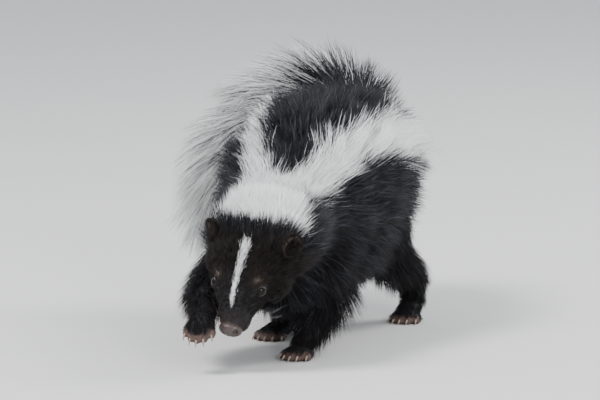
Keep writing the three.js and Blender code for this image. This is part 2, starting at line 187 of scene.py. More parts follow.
@dataclass
class Form:
    """A smooth form along a bent line, from stations of x, y, z, half width and half height."""

    part: Part
    stations: Array
    side: Array = field(default_factory=lambda: np.array([1.0, 0, 0]))
    sides: int = 40
    count: int = 48
    cap: float = 0.7
    square: float = 2.0
    cap_angles: tuple[float, ...] = (20, 40, 58, 74)
    block: int = 40000

    def __post_init__(self) -> None:
        """Samples the line, its sizes and its frames."""
        run = through(np.asarray(self.stations, float), self.count)
        self.middle, self.wide, self.high = run[:, :3], run[:, 3], run[:, 4]
        self.along = unit(np.gradient(self.middle, axis=0))
        side = self.side - (self.along @ self.side)[:, None] * self.along
        self.left = unit(side)
        self.top = np.cross(self.left, self.along)

    def rings(self) -> Array:
        """Rings of points over the form, with round ends."""
        angles = np.arange(self.sides) / self.sides * math.tau
        ends = np.radians(self.cap_angles)

        def ring(i: int, shrink: float, shift: float) -> Array:
            """The ring at a station, made smaller and moved along."""
            c, s = np.cos(angles), np.sin(angles)
            full = (np.abs(c) ** self.square + np.abs(s) ** self.square) ** (-1 / self.square)
            across = (c * full)[:, None] * self.left[i] * self.wide[i]
            upright = (s * full)[:, None] * self.top[i] * self.high[i]
            return self.middle[i] + (across + upright) * shrink + self.along[i] * shift

        last = self.count - 1
        caps = [min(self.wide[i], self.high[i]) * self.cap for i in (0, last)]
        front = [ring(0, math.cos(a), -caps[0] * math.sin(a)) for a in ends[::-1]]
        rear = [ring(last, math.cos(a), caps[1] * math.sin(a)) for a in ends]
        return np.array(front + [ring(i, 1, 0) for i in range(self.count)] + rear)

    def nearest(self, points: Array) -> tuple[Array, Array, Array]:
        """How points lie to the form.

        Args:
            points: Rows of the animal's frame.

        Returns:
            The distance to the surface, the nearest sample, and the angle from left over the top.
        """
        index = np.empty(len(points), int)
        for start in range(0, len(points), self.block):
            some = slice(start, start + self.block)
            gaps = ((points[some][:, None, :] - self.middle[None]) ** 2).sum(2)
            index[some] = gaps.argmin(1)
        off = points - self.middle[index]
        across = (off * self.left[index]).sum(1) / self.wide[index]
        upright = (off * self.top[index]).sum(1) / self.high[index]
        size = np.minimum(self.wide, self.high)[index]
        beyond = np.abs((off * self.along[index]).sum(1))
        beyond = np.where((index == 0) | (index == self.count - 1), beyond / self.cap, beyond * 0.3)
        power = self.square
        radial = (np.abs(across) ** power + np.abs(upright) ** power) ** (1 / power) * size
        return np.hypot(radial, beyond) - size, index, np.arctan2(upright, across)


def deselect() -> None:
    """Clears the selection."""
    bpy.ops.object.select_all(action="DESELECT")


def activate(piece: Piece) -> None:
    """Makes a piece the only selected one, and active."""
    deselect()
    piece.select_set(True)
    bpy.context.view_layer.objects.active = piece


def smooth(piece: Piece) -> None:
    """Gives a piece smooth shading."""
    activate(piece)
    bpy.ops.object.shade_smooth()


def add_object(name: str, data: bpy.types.ID) -> Piece:
    """Links a new object to the scene."""
    added = bpy.data.objects.new(name, data)
    bpy.context.scene.collection.objects.link(added)
    return added


def mesh_piece(name: str, points: Array, faces: list[list[int]]) -> Piece:
    """A new mesh piece at the origin.

    Args:
        name: The piece's name.
        points: Its points in the animal's frame.
        faces: Its faces, as lists of indices.

    Returns:
        The new object, linked to the scene.
    """
    mesh = bpy.data.meshes.new(name)
    mesh.from_pydata(to_row(points).tolist(), [], faces)
    mesh.update()
    return add_object(name, mesh)


def form_piece(name: str, form: Form) -> Piece:
    """A closed mesh over a form."""
    rings = form.rings()
    count, sides = rings.shape[:2]
    points = np.vstack([rings.reshape(-1, 3), rings[0].mean(0), rings[-1].mean(0)])
    faces = []
    for r in range(count - 1):
        for i in range(sides):
            j = (i + 1) % sides
            faces.append([r * sides + i, (r + 1) * sides + i, (r + 1) * sides + j, r * sides + j])
    first, last = count * sides, count * sides + 1
    for i in range(sides):
        j = (i + 1) % sides
        faces.append([first, i, j])
        faces.append([last, (count - 1) * sides + j, (count - 1) * sides + i])
    return mesh_piece(name, points, faces)


def ball_piece(name: str, middle: Array, half: Triple, axes: Array, fine: int = 32) -> Piece:
    """An egg shape from a sphere primitive, set in its place.

    Args:
        name: The piece's name.
        middle: Its middle in the animal's frame.
        half: Half its size along each of the axes.
        axes: The three directions, as rows.
        fine: Segments round it.

    Returns:
        The piece, with its place in its mesh.
    """
    deselect()
    bpy.ops.mesh.primitive_uv_sphere_add(segments=fine, ring_count=fine * 2 // 3, radius=1)
    piece = bpy.context.active_object
    piece.name = name
    mesh = piece.data
    points = vertices_of(mesh)
    set_vertices(mesh, to_row(points * np.array(half) @ axes + middle))
    return piece


def read(rows: bpy.types.bpy_prop_collection, name: str, wide: int, kind: type) -> Array:
    """One attribute of a mesh's points, triangles or corners, as rows."""
    flat = np.empty(len(rows) * wide, kind)
    rows.foreach_get(name, flat)
    return flat.reshape(-1, wide)


def vertices_of(mesh: bpy.types.Mesh) -> Array:
    """A mesh's points as rows."""
    return read(mesh.vertices, "co", 3, np.float32).astype(float)


def set_vertices(mesh: bpy.types.Mesh, points: Array) -> None:
    """Moves a mesh's points."""
    mesh.vertices.foreach_set("co", np.asarray(points, np.float32).ravel())
    mesh.update()


def own_points(piece: Piece) -> Array:
    """A piece's points in the animal's frame, in millimetres."""
    return (vertices_of(piece.data) - SHIFT) / MM


def join_pieces(name: str, pieces: list[Piece]) -> Piece:
    """Joins pieces into one object."""
    deselect()
    for piece in pieces:
        piece.select_set(True)
    bpy.context.view_layer.objects.active = pieces[0]
    if len(pieces) > 1:
        bpy.ops.object.join()
    pieces[0].name = name
    pieces[0].data.name = name
    return pieces[0]


def apply_modifier(piece: Piece, kind: str, **settings: object) -> None:
    """Adds a modifier with its settings and applies it."""
    activate(piece)
    modifier = piece.modifiers.new(kind.title(), kind)
    for key, value in settings.items():
        setattr(modifier, key, value)
    bpy.ops.object.modifier_apply(modifier=modifier.name)


def dress(piece: Piece, material: bpy.types.Material, nodes: tuple[str, ...] = ()) -> None:
    """Gives a finished piece its material, its body and the nodes it stands for."""
    piece.data.materials.clear()
    piece.data.materials.append(material)
    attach(piece, "root")
    if nodes:
        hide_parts(*nodes)
    log.info("%s: %d faces", piece.name, len(piece.data.polygons))


def make(
    tree: bpy.types.NodeTree,
    kind: str,
    settings: dict[str, str],
    inputs: dict[str, object],
    out: int | str = 0,
) -> bpy.types.NodeSocket:
    """One node with its settings and its sockets' values or links.

    Args:
        tree: The material's node tree.
        kind: The node's type.
        settings: Its own settings, set first.
        inputs: A value or another node's output for each named input.
        out: The output to return.

    Returns:
        The output.
    """
    node = tree.nodes.new(kind)
    for key, value in settings.items():
        setattr(node, key, value)
    for key, value in inputs.items():
        if isinstance(value, bpy.types.NodeSocket):
            tree.links.new(value, node.inputs[key])
        else:
            node.inputs[key].default_value = value
    return node.outputs[out]


def new_material(
    name: str, roughness: float, specular: float
) -> tuple[bpy.types.Material, bpy.types.NodeTree, bpy.types.Node]:
    """A material of one roughness, with its tree and its main shader node."""
    material = bpy.data.materials.new(name)
    material.use_nodes = True
    tree = material.node_tree
    shader = next(n for n in tree.nodes if n.type == "BSDF_PRINCIPLED")
    shader.inputs["Roughness"].default_value = roughness
    shader.inputs["Specular IOR Level"].default_value = specular
    return material, tree, shader


GRAIN_DEPTH = 0.0006


@dataclass(frozen=True)
class PaintedFinish:
    """A finish whose colour comes from a painted attribute, with a fine grain."""

    name: str
    roughness: float
    specular: float = 0.5
    coat: float = 0.0
    grain: float = 0.0
    grain_size: float = 900.0

    def material(self) -> bpy.types.Material:
        """Builds the material."""
        material, tree, shader = new_material(self.name, self.roughness, self.specular)
        colour = make(tree, "ShaderNodeAttribute", {"attribute_name": "coat"}, {})
        tree.links.new(colour, shader.inputs["Base Color"])
        shader.inputs["Coat Weight"].default_value = self.coat
        if self.grain:
            where = make(tree, "ShaderNodeTexCoord", {}, {}, "Object")
            speckle = {"Vector": where, "Scale": self.grain_size, "Detail": 3.0}
            noise = make(tree, "ShaderNodeTexNoise", {}, speckle)
            relief = {"Height": noise, "Strength": self.grain, "Distance": GRAIN_DEPTH}
            bump = make(tree, "ShaderNodeBump", {}, relief)
            tree.links.new(bump, shader.inputs["Normal"])
        return material


@dataclass(frozen=True)
class PlainFinish:
    """A finish of one colour."""

    name: str
    colour: Triple
    roughness: float
    specular: float = 0.5

    def material(self) -> bpy.types.Material:
        """Builds the material."""
        material, _, shader = new_material(self.name, self.roughness, self.specular)
        shader.inputs["Base Color"].default_value = (*self.colour, 1)
        return material


FUR_FINISH = PaintedFinish("fur", 0.5, specular=0.14)
SKIN_FINISH = PaintedFinish("skin", 0.65, specular=0.3, grain=0.5)
LID_FINISH = PaintedFinish("lid_skin", 0.45, specular=0.4, grain=0.3)
NOSE_FINISH = PaintedFinish("nose_leather", 0.38, coat=0.25, grain=0.4, grain_size=1500)
EYE_FINISH = PlainFinish("wet_eye", (0.002, 0.0016, 0.0015), 0.045, specular=0.2)
CLAW_FINISH = PlainFinish("claw_horn", (0.27, 0.215, 0.17), 0.4)
FLOOR_FINISH = PlainFinish("floor", (0.66, 0.65, 0.63), 0.9)


def head_form(part: Part, stations: tuple[tuple[float, ...], ...], **more: float) -> Form:
    """A form in the head's frame, from stations of back, half width, half height and rise."""
    rows = [[*HEAD.place((0, back, rise)), wide, high] for back, wide, high, rise in stations]
    return Form(part, np.array(rows), side=HEAD.axes[0], **more)


LEG_INSET = np.array([4, 3.5, 2.5, 1.4, 0.8])
LEGS = {
    "foreleg_left": [
        (26, 34, 74, 15, 19),
        (29, 41, 56, 14, 16),
        (28.5, 40, 41, 12, 13),
        (24, 31, 24, 9.2, 9.6),
        (20.5, 19, 8.5, 8, 7.6),
    ],
    "foreleg_right": [
        (-25, 26, 74, 15, 18),
        (-32, 8, 60, 13, 15),
        (-34, -12, 52, 10.5, 11.5),
        (-28.5, -36, 46, 8.6, 8.6),
        (-18.5, -60, 38.5, 7.4, 6.6),
    ],
    "hindleg_left": [
        (10, 176, 90, 17, 27),
        (18, 165, 69, 15, 24),
        (23, 168, 51, 12, 18),
        (29, 190, 36, 9.6, 11.5),
        (29, 198, 15, 8, 8),
    ],
    "hindleg_right": [
        (-44, 150, 85, 17, 26),
        (-43, 129, 66, 16, 23),
        (-39, 118, 48, 13, 17),
        (-34, 109, 26, 9.4, 10.6),
        (-32, 104, 8.5, 8.2, 8),
    ],
}


@dataclass(frozen=True)
class Toe:
    """Where a toe grows from its paw: a share of the width, how far back, and how far it fans out."""

    side: float
    back: float
    fan: float


TOES = (Toe(-0.84, 5.2, -16), Toe(-0.44, 1.2, -7), Toe(0, 0, 0), Toe(0.44, 1.2, 7), Toe(0.84, 5.2, 16))


@dataclass
class Paw:
    """One paw with its toes and claws, in its own frame: y forward to the claws, z up."""

    heel: Triple
    length: float
    wide: float
    turn: float
    claw: float
    dip: float = 0
    lift: float = 0
    toe_length: float = 7.5
    toe_radius: float = 2.8

    def place(self, x: float, y: float, z: float) -> Array:
        """A point of the paw in the animal's frame."""
        turn, dip = math.pi + math.radians(self.turn), -math.radians(self.dip)
        spin = Matrix.Rotation(turn, 3, "Z") @ Matrix.Rotation(dip, 3, "X")
        return np.array(spin @ Vector((x, y, z))) + np.array(self.heel)

    def form(self, rows: list[tuple[float, ...]], sides: int, count: int, cap: float) -> Form:
        """A form from stations in the paw's frame."""
        side = self.place(-1, 0, 0) - self.place(0, 0, 0)
        stations = [[*self.place(x, y, z), wide, high] for x, y, z, wide, high in rows]
        return Form(Part.PAW, np.array(stations), side=side, sides=sides, count=count, cap=cap)

    def palm(self) -> Form:
        """The palm or sole."""
        rows = [
            (0, 1, 7.5 + self.lift, 6.6, 6.2),
            (0, self.length * 0.5, 6.0 + self.lift * 0.4, self.wide * 0.8, 5.8),
            (0, self.length, 4.7, self.wide * 0.92, 4.9),
        ]
        return self.form(rows, 24, 14, 0.5)

    def run(self, toe: Toe, distance: float, z: float, spread: float = 0) -> Triple:
        """A point along a toe's line."""
        fan = math.radians(toe.fan)
        x = toe.side * self.wide * 0.9 + math.sin(fan) * distance + spread
        y = self.length - toe.back - 1 + math.cos(fan) * distance
        return x, y, z

    def toes(self) -> list[Form]:
        """The five toes."""
        r, reach = self.toe_radius, self.toe_length
        forms = []
        for toe in TOES:
            rows = [
                (*self.run(toe, -3, 4.4), r, r),
                (*self.run(toe, reach * 0.3, 4.5), r * 0.94, r * 0.94),
                (*self.run(toe, reach * 0.7, 3.6), r * 1.06, r * 1.04),
                (*self.run(toe, reach, 2.6), r * 0.9, r * 0.86),
            ]
            forms.append(self.form(rows, 16, 12, 0.8))
        return forms

    def claws(self) -> list[Form]:
        """The five claws, each flat-sided and bent down to its point."""
        reach, claw = self.toe_length, self.claw
        forms = []
        for toe in TOES:
            rows = [
                (*self.run(toe, reach - 1, 3.8), 0.75, 1.2),
                (*self.run(toe, reach + claw * 0.4, 3.7), 0.68, 1.0),
                (*self.run(toe, reach + claw * 0.8, 2.6), 0.46, 0.66),
                (*self.run(toe, reach + claw + 0.5, 1.1), 0.16, 0.2),
            ]
            forms.append(self.form(rows, 12, 12, 0.6))
        return forms


PAWS = {
    "forepaw_left": Paw((20.5, 22, -1), 13, 10, -4, 4),
    "forepaw_right": Paw((-18, -57.5, 33), 12, 9.6, 6, 4, dip=40),
    "hindpaw_left": Paw((29, 201, -1.4), 19, 10.4, -2, 4, lift=11),
    "hindpaw_right": Paw((-32, 108, -1.2), 32, 10.4, 3, 4),
}
EARS = ("ear_left", "ear_right")
TAIL = ("tail_root", "tail_arch", "tail_plume")
FLESH = ("head", "jaw", "neck", "torso", *EARS, *TAIL)
NECK_TO = 22
CROWN_TO = 63
WRIST_AT = 0.86
TOES_BELOW = 55
TOES_WITHIN = 24
SKULL = (
    (3, 7.2, 5.6, -0.5),
    (9, 10.2, 7.8, -0.2),
    (17, 12.8, 10.4, 1.6),
    (25, 17.0, 13.8, 3.6),
    (35, 21.4, 17, 4.2),
    (47, 25.2, 19.6, 3.2),
    (60, 26.5, 20.6, 1.2),
    (84, 24, 19, -3),
)
JAW = (
    (7.5, 4.4, 2.6, -7.8),
    (15, 7.4, 3.8, -9.8),
    (26, 9.8, 4.6, -11.8),
    (37, 11.4, 5, -14),
)
TRUNK = (
    (-2, -42, 72, 19, 17),
    (-1, -20, 82, 21, 19),
    (0, 4, 83, 25, 23),
    (-1, 34, 81, 32, 28),
    (-6, 74, 86, 37, 34),
    (-12, 118, 94, 40, 39),
    (-18, 158, 99, 40, 41),
    (-22, 192, 104, 32, 34),
    (-24, 207, 108, 24, 25),
)
TAIL_LINE = (
    (-23, 190, 120, 10, 9),
    (-28, 219, 139, 8, 8),
    (-42, 232, 151, 7, 7),
    (-69, 226, 152, 6.5, 6.5),
    (-96, 206, 137, 6, 6),
    (-113, 184, 110, 5, 5),
    (-120, 171, 84, 3, 3),
)


class Body:
    """The forms of the bare animal, under the coat."""

    def __init__(self) -> None:
        """Makes every form, the skull and the trunk first."""
        self.forms = [
            head_form(Part.HEAD, SKULL, square=2.5),
            head_form(Part.HEAD, JAW, sides=24),
            Form(Part.TORSO, np.array(TRUNK), count=64, cap=0.75),
            Form(Part.TAIL, np.array(TAIL_LINE), side=np.array([0.55, 0.8, 0]), sides=20, count=64),
        ]
        for rows in LEGS.values():
            stations = np.array(rows, float)
            stations[:, 3:] -= LEG_INSET[:, None]
            self.forms.append(Form(Part.LEG, stations, sides=28, count=32, cap=0.6))
        self.forms += [paw.palm() for paw in PAWS.values()]

    def settle(self, points: Array) -> dict[str, Array]:
        """Finds the form that each point lies on.

        Args:
            points: Rows of the animal's frame.

        Returns:
            For each point its form, its share of the length, its angle and the form's direction.
        """
        best = np.full(len(points), np.inf)
        found = {
            "form": np.zeros(len(points), int),
            "share": np.zeros(len(points)),
            "angle": np.zeros(len(points)),
            "along": np.zeros((len(points), 3)),
        }
        for number, form in enumerate(self.forms):
            distance, index, angle = form.nearest(points)
            closer = np.abs(distance) < best
            best[closer] = np.abs(distance)[closer]
            found["form"][closer] = number
            found["share"][closer] = (index / (form.count - 1))[closer]
            found["angle"][closer] = angle[closer]
            found["along"][closer] = form.along[index][closer]
        return found

    def parts(self, points: Array, found: dict[str, Array]) -> Array:
        """The Part of each point."""
        part = np.array([form.part for form in self.forms])[found["form"]]
        part[(part == Part.TORSO) & (points[:, 1] < NECK_TO)] = Part.NECK
        part[(part == Part.NECK) & (HEAD.local(points)[:, 1] < CROWN_TO)] = Part.HEAD
        part[(part == Part.LEG) & (found["share"] > WRIST_AT)] = Part.PAW
        return part


BODY = Body()

BLACK = np.array([0.006, 0.006, 0.0078])
BROWN_BLACK = np.array([0.0085, 0.0062, 0.0052])
WHITE = np.array([0.93, 0.93, 0.925])
BROWN = np.array([0.016, 0.009, 0.006])
PALE_SPOT = np.array([0.11, 0.095, 0.08])
CREAM = np.array([0.46, 0.37, 0.27])
TOE_SKIN = np.array([0.088, 0.055, 0.045])
UNDER_BLACK = BLACK * 1.3
UNDER_WHITE = WHITE * 0.75
EAR_SKIN = np.array([0.022, 0.015, 0.012])
MUZZLE_SKIN = np.array([0.06, 0.04, 0.034])
NOSE_SKIN = np.array([0.05, 0.031, 0.029])
LID_SKIN = np.array([0.055, 0.046, 0.041])
# Bluish tint of the painted glints: a painted highlight on some dark hairs.
PAINTED_GLINT_TINT = np.array([0.9, 0.95, 1.15])

BLAZE_HALF = Curve((13, 20, 34, 46, 54), (0.8, 1.3, 1.7, 2.3, 2.6))
BLAZE_MIDDLE = Curve((13, 34, 54), (0, 0.4, 0.6))
LEFT_LOW = Curve((-42, -10, 20, 60, 100, 140, 200), (34, 40, 50, 46, 36, 24, 18))
LEFT_HIGH = Curve((16, 34, 70, 130, 180), (90, 80, 68, 56, 50))
RIGHT_HIGH = Curve((16, 34, 70, 130, 180), (90, 104, 115, 124, 128))
RIGHT_LOW = Curve((-42, 0, 30, 80, 130, 200), (148, 138, 124, 126, 136, 146))


def between(low: float, high: float, values: Array, soft: float) -> Array:
    """1 from low to high and 0 outside, with an edge that takes soft to either side."""
    return ramp(-soft, soft, values - low) * (1 - ramp(-soft, soft, values - high))


@dataclass(frozen=True)
class Markings:
    """Where the coat is white, from the animal's own forms."""

    blaze: tuple[float, float] = (13, 54)
    nape_from: float = 67
    spine_parts_at: float = 16
    edge: float = 3

    def of(self, points: Array, part: Array, found: dict[str, Array]) -> Array:
        """How white each point is, from 0 to 1.

        Args:
            points: Rows of the animal's frame.
            part: The Part of each.
            found: What Body.settle says of them.

        Returns:
            One number for each point.
        """
        white = np.zeros(len(points))
        local = HEAD.local(points)
        side, back, rise = local.T
        head = part == Part.HEAD
        blaze = 1 - ramp(-0.3, 0.4, np.abs(side - BLAZE_MIDDLE(back)) - BLAZE_HALF(back))
        blaze *= ramp(self.blaze[0] - 1, self.blaze[0] + 1, back)
        blaze *= 1 - ramp(self.blaze[1] - 1.5, self.blaze[1] + 1.5, back)
        around = np.degrees(np.arctan2(rise + 2, side))
        nape = ramp(self.nape_from - 1.5, self.nape_from + 1.5, back)
        nape = nape * ramp(18, 26, around) * (1 - ramp(154, 162, around))
        white[head] = np.maximum(blaze * (rise > 0), nape)[head]

        y = points[:, 1]
        angle = np.degrees(found["angle"])
        angle = np.where(angle < -90, angle + 360, angle)
        in_left = between(LEFT_LOW(y), LEFT_HIGH(y), angle, self.edge)
        in_right = between(RIGHT_HIGH(y), RIGHT_LOW(y), angle, self.edge)
        whole = between(LEFT_LOW(y), RIGHT_LOW(y), angle, self.edge)
        stripes = np.where(y < self.spine_parts_at, whole, np.maximum(in_left, in_right))
        trunk = (part == Part.TORSO) | (part == Part.NECK)
        behind_head = ramp(self.nape_from - 1, self.nape_from + 1, back)
        white[trunk] = (stripes * behind_head)[trunk]

        tail = part == Part.TAIL
        share = found["share"]
        white[tail] = (0.03 + 0.6 * ramp(0.2, 0.5, share) + 0.27 * ramp(0.55, 0.85, share))[tail]
        return white


MARKINGS = Markings()


def bareness(points: Array) -> Array:
    """How far each point lies on the bare end of a toe, from 0 to 1."""
    bare = np.zeros(len(points))
    low = np.flatnonzero(points[:, 2] < TOES_BELOW)
    for paw in PAWS.values():
        near = low[np.linalg.norm(points[low] - paw.place(0, paw.length, 4), axis=1) < TOES_WITHIN]
        for toe in paw.toes():
            distance, index, _ = toe.nearest(points[near])
            ahead = ramp(0.35, 0.7, index / (toe.count - 1))
            bare[near] = np.maximum(bare[near], ahead * (1 - ramp(0.5, 2.0, np.abs(distance))))
    return bare


MOUTH = ((0, 4.5, -6), (6, 9, -7.6), (10, 18, -8.6), (13.4, 28, -9.6))
SWELLINGS = {
    "cheek": ((17.5, 41, -3.5), (8, 13, 10)),
    "brow": ((12.6, 30, 13), (4.4, 8, 3)),
    "lip": ((5.6, 10, -4.5), (4.8, 7.5, 4.2)),
}


@dataclass
class Skin:
    """One skin over the whole animal, with ears, lids and mouth."""

    voxel: float = 1.15
    ear_voxel: float = 0.45
    ear_half: Triple = (7.8, 4.4, 8.8)
    ear_rim: Triple = (1.5, 0, 1.6)
    mouth_middle: float = 16
    mouth_reach: float = 22
    mouth_press: float = 0.9
    mouth_wide: float = 1.3
    socket_press: float = 0.7
    socket_wide: float = 3.6

    def ear(self, hand: int) -> Piece:
        """A round cup that opens forward and outward."""
        opening = unit(mirrored((0.8, -0.5, 0.2), hand))
        rise = mirrored((0.13, 0.54, 0.83), hand)
        rise = unit(rise - opening * (rise @ opening))
        own = np.array([np.cross(opening, rise), opening, rise]) @ HEAD.axes
        middle = HEAD.place(mirrored(EAR_AT, hand))
        shell = ball_piece("ear", middle, self.ear_half, own, 40)
        hollow_half = np.array(self.ear_half) - self.ear_rim
        hollow = ball_piece("ear_hollow", middle + own[1] * 2.6, hollow_half, own, 40)
        apply_modifier(shell, "BOOLEAN", operation="DIFFERENCE", object=hollow, solver="EXACT")
        bpy.data.objects.remove(hollow)
        apply_modifier(shell, "REMESH", mode="VOXEL", voxel_size=self.ear_voxel * MM)
        apply_modifier(shell, "SMOOTH", factor=0.5, iterations=3)
        return shell

    def body(self) -> Piece:
        """The body's forms joined under one surface."""
        pieces = [form_piece("form", form) for form in BODY.forms]
        for paw in PAWS.values():
            pieces += [form_piece("toe", toe) for toe in paw.toes()]
        for hand in BOTH_SIDES:
            for name, (place, half) in SWELLINGS.items():
                pieces.append(ball_piece(name, HEAD.place(mirrored(place, hand)), half, HEAD.axes))
        whole = join_pieces("skin", pieces)
        apply_modifier(whole, "REMESH", mode="VOXEL", voxel_size=self.voxel * MM)
        apply_modifier(whole, "SMOOTH", factor=0.5, iterations=4)
        return whole

    def crease(self, piece: Piece) -> None:
        """Presses in the line of the mouth and the sockets, and flattens the soles."""
        points = own_points(piece)
        local = HEAD.local(points)
        line = through(np.array(MOUTH), 40)
        near = np.abs(local[:, 1] - self.mouth_middle) < self.mouth_reach
        for hand in BOTH_SIDES:
            gap = np.linalg.norm(local[near][:, None] - mirrored(line, hand)[None], axis=2).min(1)
            push = self.mouth_press * fade(gap, self.mouth_wide)
            local[near] -= unit(local[near] * (1, 0, 1)) * push[:, None]
            reach = np.linalg.norm(local - mirrored(EYE_AT, hand), axis=1)
            push = self.socket_press * fade(reach, self.socket_wide)
            local -= unit(mirrored(EYE_LOOKS, hand)) * push[:, None]
        points = HEAD.place(local)
        points[:, 2] = np.maximum(points[:, 2], 0)
        set_vertices(piece.data, to_row(points))

    def paint(self, piece: Piece, ears_from: int) -> None:
        """Colours the skin with the coat's own markings.

        Args:
            piece: The skin.
            ears_from: The first point that belongs to the ears.
        """
        points = own_points(piece)
        found = BODY.settle(points)
        part = BODY.parts(points, found)
        part[ears_from:] = Part.EAR
        white = MARKINGS.of(points, part, found)[:, None]
        colour = UNDER_BLACK * (1 - white) + UNDER_WHITE * white
        bare = bareness(points)[:, None]
        colour = colour * (1 - bare) + TOE_SKIN * bare
        colour[ears_from:] = EAR_SKIN
        muzzle = 1 - ramp(2, 4.5, HEAD.local(points)[:, 1])[:, None]
        head = (part == Part.HEAD)[:, None]
        colour = np.where(head, colour * (1 - muzzle) + MUZZLE_SKIN * muzzle, colour)
        paint_points(piece.data, colour)

    def build(self) -> Piece:
        """Builds, unwraps, paints and dresses the skin."""
        whole = self.body()
        self.crease(whole)
        ears_from = len(whole.data.vertices)
        skin = join_pieces("skin", [whole, self.ear(1), self.ear(-1)])
        self.paint(skin, ears_from)
        smooth(skin)
        bpy.ops.object.mode_set(mode="EDIT")
        bpy.ops.mesh.select_all(action="SELECT")
        bpy.ops.uv.smart_project(angle_limit=math.radians(66), island_margin=0.002)
        bpy.ops.object.mode_set(mode="OBJECT")
        skin["ears_from"] = ears_from
        nodes = FLESH + tuple(LEGS) + tuple(PAWS)
        dress(skin, SKIN_FINISH.material(), nodes)
        return skin


def paint_points(mesh: bpy.types.Mesh, colour: Array) -> None:
    """Stores a colour for each point of a mesh."""
    layer = mesh.color_attributes.new(name="coat", type="FLOAT_COLOR", domain="POINT")
    rows = np.ones((len(mesh.vertices), 4), np.float32)
    rows[:, :3] = colour
    layer.data.foreach_set("color", rows.ravel())


@dataclass
class Eye:
    """A wet black eye with a rim of lid round it."""

    hand: int
    lid_skin: bpy.types.Material
    radius: float = 4.2
    sunk: float = 1.7
    rim: float = 0.34
    half_long: float = 3.75
    half_tall: float = 3.2
    tube: float = 0.24

    def axes(self) -> Array:
        """The slit's direction, the way across it and the way out, in the animal's frame."""
        out = unit(mirrored(EYE_LOOKS, self.hand))
        slit = mirrored((0.5, 0.86, 0.02), self.hand)
        slit = unit(slit - out * (slit @ out))
        return np.array([slit, np.cross(out, slit), out]) @ HEAD.axes

    def build(self) -> None:
        """Builds the eye and its lid."""
        name = "left" if self.hand > 0 else "right"
        axes = self.axes()
        middle = HEAD.place(mirrored(EYE_AT, self.hand)) - axes[2] * self.sunk
        ball = ball_piece("eye_" + name + "_ball", middle, (self.radius,) * 3, axes, 48)
        smooth(ball)
        dress(ball, EYE_FINISH.material(), ("eye_" + name,))
        self.lid(name, middle, axes)

    def lid(self, name: str, middle: Array, axes: Array) -> None:
        """A soft rim that follows the ball, thicker above."""
        deselect()
        bpy.ops.mesh.primitive_torus_add(
            major_segments=56, minor_segments=14, major_radius=1.0, minor_radius=self.tube
        )
        rim = bpy.context.active_object
        rim.name = "lid_" + name
        points = vertices_of(rim.data)
        around = np.linalg.norm(points[:, :2], axis=1, keepdims=True)
        flat = points[:, :2] / around
        above = 0.5 + 0.5 * flat[:, 1]
        thick = self.rim * (0.8 + 0.7 * above) / self.tube
        tall = self.half_tall * (1 - 0.14 * flat[:, 0] ** 2)
        almond = np.column_stack([np.full(len(tall), self.half_long), tall])
        across = flat * almond + flat * ((around - 1) * thick[:, None])
        depth = np.sqrt(np.maximum(self.radius**2 - (across**2).sum(1), 1.2))
        rise = depth + points[:, 2] * thick - 0.1
        own = np.column_stack([across, rise])
        set_vertices(rim.data, to_row(own @ axes + middle))
        outer = 0.35 + 0.65 * np.clip(0.5 + 0.5 * flat[:, 0] - 0.6 * flat[:, 1], 0, 1)
        paint_points(rim.data, LID_SKIN * outer[:, None])
        smooth(rim)
        dress(rim, self.lid_skin)


@dataclass
class Nose:
    """The nose pad with its two nostrils and the groove under them."""

    middle: Triple = (-0.3, 1.7, -1.4)
    half: Triple = (8.4, 5.0, 6.0)
    nostril: Triple = (4.5, -1.4, 0.2)
    nostril_slant: float = 0.35
    nostril_half: tuple[float, float] = (1.6, 2.2)
    nostril_deep: float = 3.2
    # How dark the painted shade in the nostrils is.
    nostril_painted_shade: float = 0.95
    groove_wide: float = 0.55
    groove_deep: float = 0.7
    # How dark the painted shade in the groove is.
    groove_painted_shade: float = 0.45

    def build(self) -> None:
        """Builds, dents and dresses the pad, with painted shade in the nostrils and the groove."""
        pad = ball_piece("nose_pad", HEAD.place(self.middle), self.half, HEAD.axes, 96)
        local = HEAD.local(own_points(pad))
        colour = np.tile(NOSE_SKIN, (len(local), 1))
        for hand in BOTH_SIDES:
            off = local - mirrored(self.nostril, hand)
            off[:, 0] -= hand * self.nostril_slant * off[:, 2]
            aside, above = off[:, 0] / self.nostril_half[0], off[:, 2] / self.nostril_half[1]
            near = np.exp(-(aside**2) - above**2) * (local[:, 1] < 3)
            local[:, 1] += self.nostril_deep * near
            # Painted shade in the nostril dents.
            colour *= (1 - self.nostril_painted_shade * near)[:, None]
        groove = fade(local[:, 0], self.groove_wide) * (local[:, 2] < 1.5) * (local[:, 1] < 4)
        local[:, 1] += self.groove_deep * groove
        # Painted shade along the groove.
        colour *= (1 - self.groove_painted_shade * groove)[:, None]
        set_vertices(pad.data, to_row(HEAD.place(local)))
        paint_points(pad.data, colour)
        smooth(pad)
        dress(pad, NOSE_FINISH.material(), ("nose",))


def build_claws() -> None:
    """Every claw, joined into one piece."""
    pieces = [form_piece("claw", claw) for paw in PAWS.values() for claw in paw.claws()]
    claws = join_pieces("claws", pieces)
    points = own_points(claws)
    points[:, 2] = np.maximum(points[:, 2], 0.1)
    set_vertices(claws.data, to_row(points))
    smooth(claws)
    dress(claws, CLAW_FINISH.material())


@dataclass
class Roots:
    """The places that hairs grow from."""

    place: Array
    out: Array
    patch: Array
    found: dict[str, Array]
    part: Array


